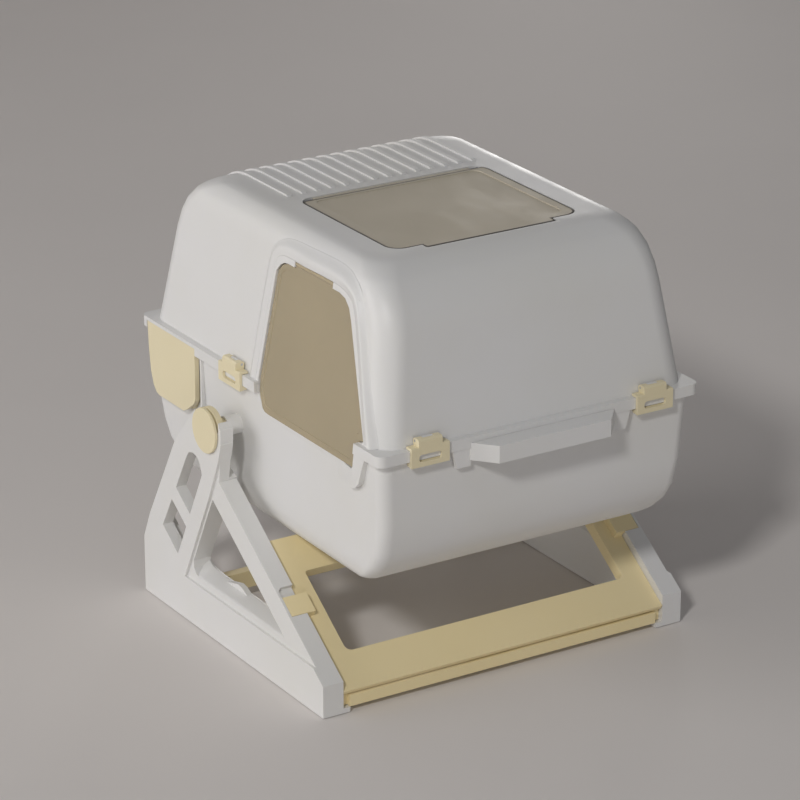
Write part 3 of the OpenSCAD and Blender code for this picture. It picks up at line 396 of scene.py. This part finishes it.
def entry_slope():
    """Soft swell of the entry's raised border and its slope down to the hood's wall."""
    line = rounded(BORDER, 3)
    sections = []
    for i, (y, z) in enumerate(line):
        (py, pz), (qy, qz) = line[max(0, i - 1)], line[min(len(line) - 1, i + 1)]
        run = math.hypot(qy - py, qz - pz)
        out_y, out_z = (qz - pz) / run, (py - qy) / run
        fade = min(1.0, max(0.0, -y / FADE_IN))
        upward = max(0.0, out_z)
        front = min(1.0, max(0.0, -out_y) + 0.75 * upward) * fade
        over = upward * fade
        # The slope is steep down the front and wide over the top, where it starts further in
        width = 8.0 - 3.0 * front + 5.0 * over
        shift = 1.0 - 0.8 * front - 4.0 * over
        section = []
        for k in range(-SWELL_STEPS, SLOPE_STEPS + 1):
            if k < 0:
                along = SWELL * k / SWELL_STEPS
                rise = BORDER_RISE + CREST * front * ease(1 + k / SWELL_STEPS)
            else:
                along = width * k / SLOPE_STEPS
                rise = (BORDER_RISE + CREST * front) * (1 - ease(k / SLOPE_STEPS))
            ay = y + out_y * (along + shift)
            az = max(LIP_Z - 1, z + out_z * (along + shift))
            section.append((hood_side(ay, az) - rise - PROUD, ay, az))
        for _, ay, az in (section[-1], section[0]):
            section.append((hood_side(ay, az) + SUNK, ay, az))
        sections.append(section)
    points, faces = closed_tube(sections, False)
    add_piece("entry_slope", points, faces, WHITE, "box")


# Upper edge of the ramp at the stand's inner face, Y and Z
RAMP_CREST = [
    (-112, 70.5), (-60, 71), (0, 71.5), (60, 71.5),
    (95, 72.5), (108, 76), (116, 84), (126, 96),
]
RAMP_STEPS = 8
RAMP_FOOT = 1.2                             # height of its outer edge over the sill


def base_ramp(side, label):
    """Slope that rises from the outer edge of the triangle's sill to the stand's inner face."""
    inner, outer, sill = 223.3, 246.4, 64.0
    sections = []
    for y, z in rounded(RAMP_CREST, 3):
        section = []
        for k in range(RAMP_STEPS + 1):
            t = k / RAMP_STEPS
            rise = (z - sill - RAMP_FOOT) * (1.3 * t - 0.3 * t * t)
            section.append((side * (outer + (inner - outer) * t), y, sill + RAMP_FOOT + rise))
        section.append((side * inner, y, sill))
        section.append((side * outer, y, sill))
        sections.append(section)
    points, faces = closed_tube(sections, False)
    add_piece("base_ramp_" + label, points, faces, WHITE, "stand")


def arc(x, y, radius, start, stop, steps=6):
    """Points on an arc round (x, y), in degrees."""
    turns = [math.radians(start + (stop - start) * i / steps) for i in range(steps + 1)]
    return [(x + radius * math.cos(a), y + radius * math.sin(a)) for a in turns]


def inward(line, gap):
    """Closed anticlockwise outline moved inward by gap."""
    moved = []
    for i, (x, y) in enumerate(line):
        (px, py), (qx, qy) = line[i - 1], line[(i + 1) % len(line)]
        a = Vector((py - y, x - px)).normalized()
        b = Vector((y - qy, qx - x)).normalized()
        shift = (a + b) * (gap / (1 + a.dot(b)))
        moved.append((x + shift.x, y + shift.y))
    return moved


# Section of the dark rim that paints the shade of the lid's gap: how far in from the lid's
# outline, and Z
RIM_SECTION = (
    (-0.12, 525.4), (-0.12, 527.6), (0.2, 527.85),
    (1.7, 527.85), (2.0, 527.5), (2.0, 525.4),
)


def lid_gap_shade_rim():
    """Dark rim round the top edge of the lid and its tab: painted shade, standing for the shadowed
    gap round the lid.
    """
    half, front, back = 126.0, -146.0, 54.5
    corner, corner_y = 18.0, 44.0
    tab_half, tab_front, tab_corner = 87.0, -155.0, 4
    # The back edge stays short of the hinge, so that the lid can swing up
    turn = math.degrees(math.asin((back - corner_y) / corner))
    line = (
        arc(half - corner, corner_y, corner, 0, turn, 3)
        + arc(corner - half, corner_y, corner, 180 - turn, 180, 3)
        + arc(corner - half, front + corner, corner, 180, 270)
        + [(-tab_half, front)]
        + arc(tab_corner - tab_half, tab_front + tab_corner, tab_corner, 180, 270, 4)
        + arc(tab_half - tab_corner, tab_front + tab_corner, tab_corner, 270, 360, 4)
        + [(tab_half, front)]
        + arc(half - corner, front + corner, corner, 270, 360)
    )
    rings = [[(x, y, z) for x, y in inward(line, gap)] for gap, z in RIM_SECTION]
    points, faces = closed_tube([list(section) for section in zip(*rings)], True)
    add_piece("lid_gap_shade_rim", points, faces, GAP_SHADE_DARK, "lid")


entry_slope()
base_ramp(-1, "left")
base_ramp(1, "right")
lid_gap_shade_rim()

# ---------- stage, light, camera ----------


def stage_material(name, colour):
    """Matt paint with a very slow colour drift."""
    mat, tree, shader, coords = new_material(name)
    drift = noise(tree, coords, scale=1.2)
    tint(tree, shader, drift, [(0.35, shade(colour, 0.97)), (0.65, colour)])
    shader.inputs["Roughness"].default_value = 0.75
    shader.inputs["Specular IOR Level"].default_value = 0.2
    return mat


def sweep_floor():
    """Floor that turns up into a backdrop far behind the object."""
    near, back, height, radius, half = -6.0, 4.5, 5.0, 1.5, 7.0
    profile = [(near, 0.0)]
    for degrees in range(0, 91, 10):
        a = math.radians(degrees)
        profile.append((back - radius + radius * math.sin(a), radius - radius * math.cos(a)))
    profile.append((back, height))
    mesh = bpy.data.meshes.new("floor")
    points = [(x, y, z) for y, z in profile for x in (-half, half)]
    faces = [(2 * i, 2 * i + 1, 2 * i + 3, 2 * i + 2) for i in range(len(profile) - 1)]
    mesh.from_pydata(points, [], faces)
    for polygon in mesh.polygons:
        polygon.use_smooth = True
    floor = bpy.data.objects.new("floor", mesh)
    scene.collection.objects.link(floor)
    floor.data.materials.append(stage_material("floor_paint", (0.77, 0.73, 0.70)))


def area_light(name, place, aim, size, watts, colour, beam=180):
    """A round lamp; a beam under 180 degrees keeps a low lamp off the floor beside it."""
    light = bpy.data.lights.new(name, "AREA")
    light.shape = "DISK"
    light.size = size
    light.energy = watts
    light.spread = math.radians(beam)
    light.color = colour
    obj = bpy.data.objects.new(name, light)
    scene.collection.objects.link(obj)
    obj.location = place
    turn_to(obj, aim)


def turn_to(obj, aim):
    """Turns a lamp or camera to look at a point."""
    obj.rotation_euler = (Vector(aim) - obj.location).to_track_quat("-Z", "Y").to_euler()


sweep_floor()
area_light("key", (-5.10, -3.98, 5.00), (0, 0, 0.3), 1.0, 198, (1.0, 0.99, 0.98))
area_light("left", (-6.15, 1.90, 1.95), (0, 0, 0.3), 4.5, 136, (1.0, 0.99, 0.99))
area_light("low", (-1.3, -3.0, 0.30), (0, 0, 0.15), 0.8, 0.85, (1.0, 0.985, 0.97), beam=60)
area_light("rim", (3.05, 3.95, 0.79), (0, 0, 0.5), 0.9, 2.6, (1.0, 0.98, 0.96), beam=60)
world = bpy.data.worlds.new("studio")
scene.world = world
world.use_nodes = True
background = world.node_tree.nodes["Background"]
background.inputs["Color"].default_value = (0.95, 0.96, 1.0, 1)
background.inputs["Strength"].default_value = 0.152

camera_data = bpy.data.cameras.new("camera")
camera_data.lens = 171.0
camera_data.sensor_width = 36
camera_data.clip_end = 60
camera = bpy.data.objects.new("camera", camera_data)
scene.collection.objects.link(camera)
camera.location = (-2.23724, -3.54062, 1.92108)
turn_to(camera, (0.06463, 0.14458, 0.21231))
scene.camera = camera
scene.view_settings.view_transform = "Standard"
